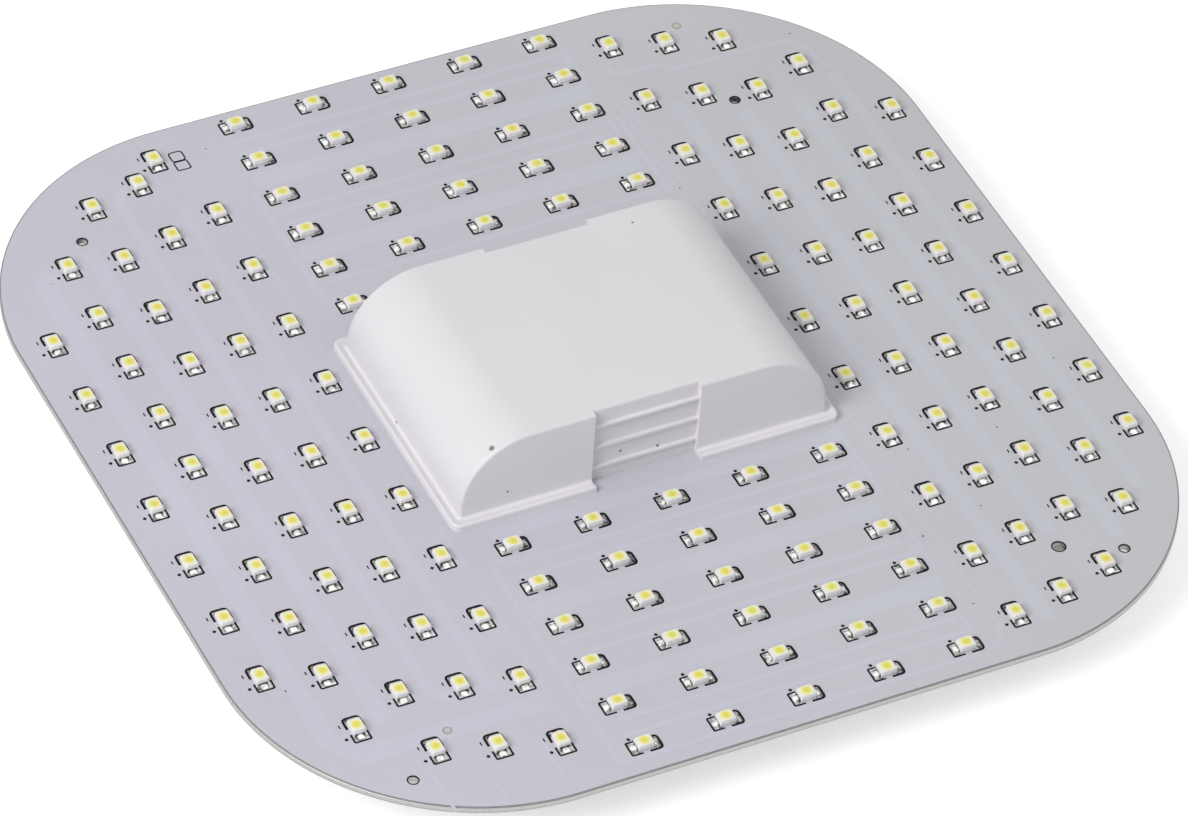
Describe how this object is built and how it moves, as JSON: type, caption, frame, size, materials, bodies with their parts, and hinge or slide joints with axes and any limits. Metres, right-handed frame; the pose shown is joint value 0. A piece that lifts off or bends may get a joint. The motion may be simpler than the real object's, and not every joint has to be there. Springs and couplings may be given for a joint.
{
  "type": "square LED lamp with recessed pins",
  "caption": "Square aluminium board of LED chips round a rounded plastic driver housing with finger grips, on a rear base with recessed contact pins.",
  "frame": {"origin": "middle of the flat underside of the rear base", "axes": "+X along the chip rows of the front and back fields, +Y towards the back field, +Z towards the light side"},
  "size_m": [0.204, 0.204, 0.0326],
  "materials": {
    "board_white": "satin white lacquer",
    "chip_white": "matte",
    "phosphor": "soft satin",
    "solder": "bright solder",
    "housing_white": "satin",
    "pin_brass": "plain",
    "screw_steel": "plated",
    "driver_laminate": "satin",
    "can_sleeve": "gloss",
    "film_yellow": "satin",
    "ferrite": "matte",
    "bobbin_dark": "satin",
    "winding_tape": "satin",
    "chip_black": "matte",
    "resistor_green": "satin",
    "absorber_blue": "gloss",
    "choke_sleeve": "satin",
    "lead_red": "satin",
    "lead_black": "satin"
  },
  "bodies": {
    "root": {"aluminium_board": "board_white", "led_bodies_left": "chip_white", "led_bodies_right": "chip_white", "led_bodies_front": "chip_white", "led_bodies_back": "chip_white", "led_windows_left": "phosphor", "led_windows_right": "phosphor", "led_windows_front": "phosphor", "led_windows_back": "phosphor", "led_terminals_left": "solder", "led_terminals_right": "solder", "led_terminals_front": "solder", "led_terminals_back": "solder", "housing_cover": "housing_white", "rear_base": "housing_white", "contact_pins": "pin_brass", "cover_screws": "screw_steel", "driver_screws": "screw_steel", "driver_board": "driver_laminate", "input_capacitor": "can_sleeve", "output_capacitor": "can_sleeve", "film_capacitor": "film_yellow", "transformer_core": "ferrite", "transformer_bobbin": "bobbin_dark", "transformer_winding": "winding_tape", "bridge_rectifier": "chip_black", "control_chip": "chip_black", "output_diode": "chip_black", "fuse_resistor": "resistor_green", "surge_absorber": "absorber_blue", "filter_choke": "choke_sleeve", "output_lead_positive": "lead_red", "output_lead_negative": "lead_black"}
  },
  "joints": []
}
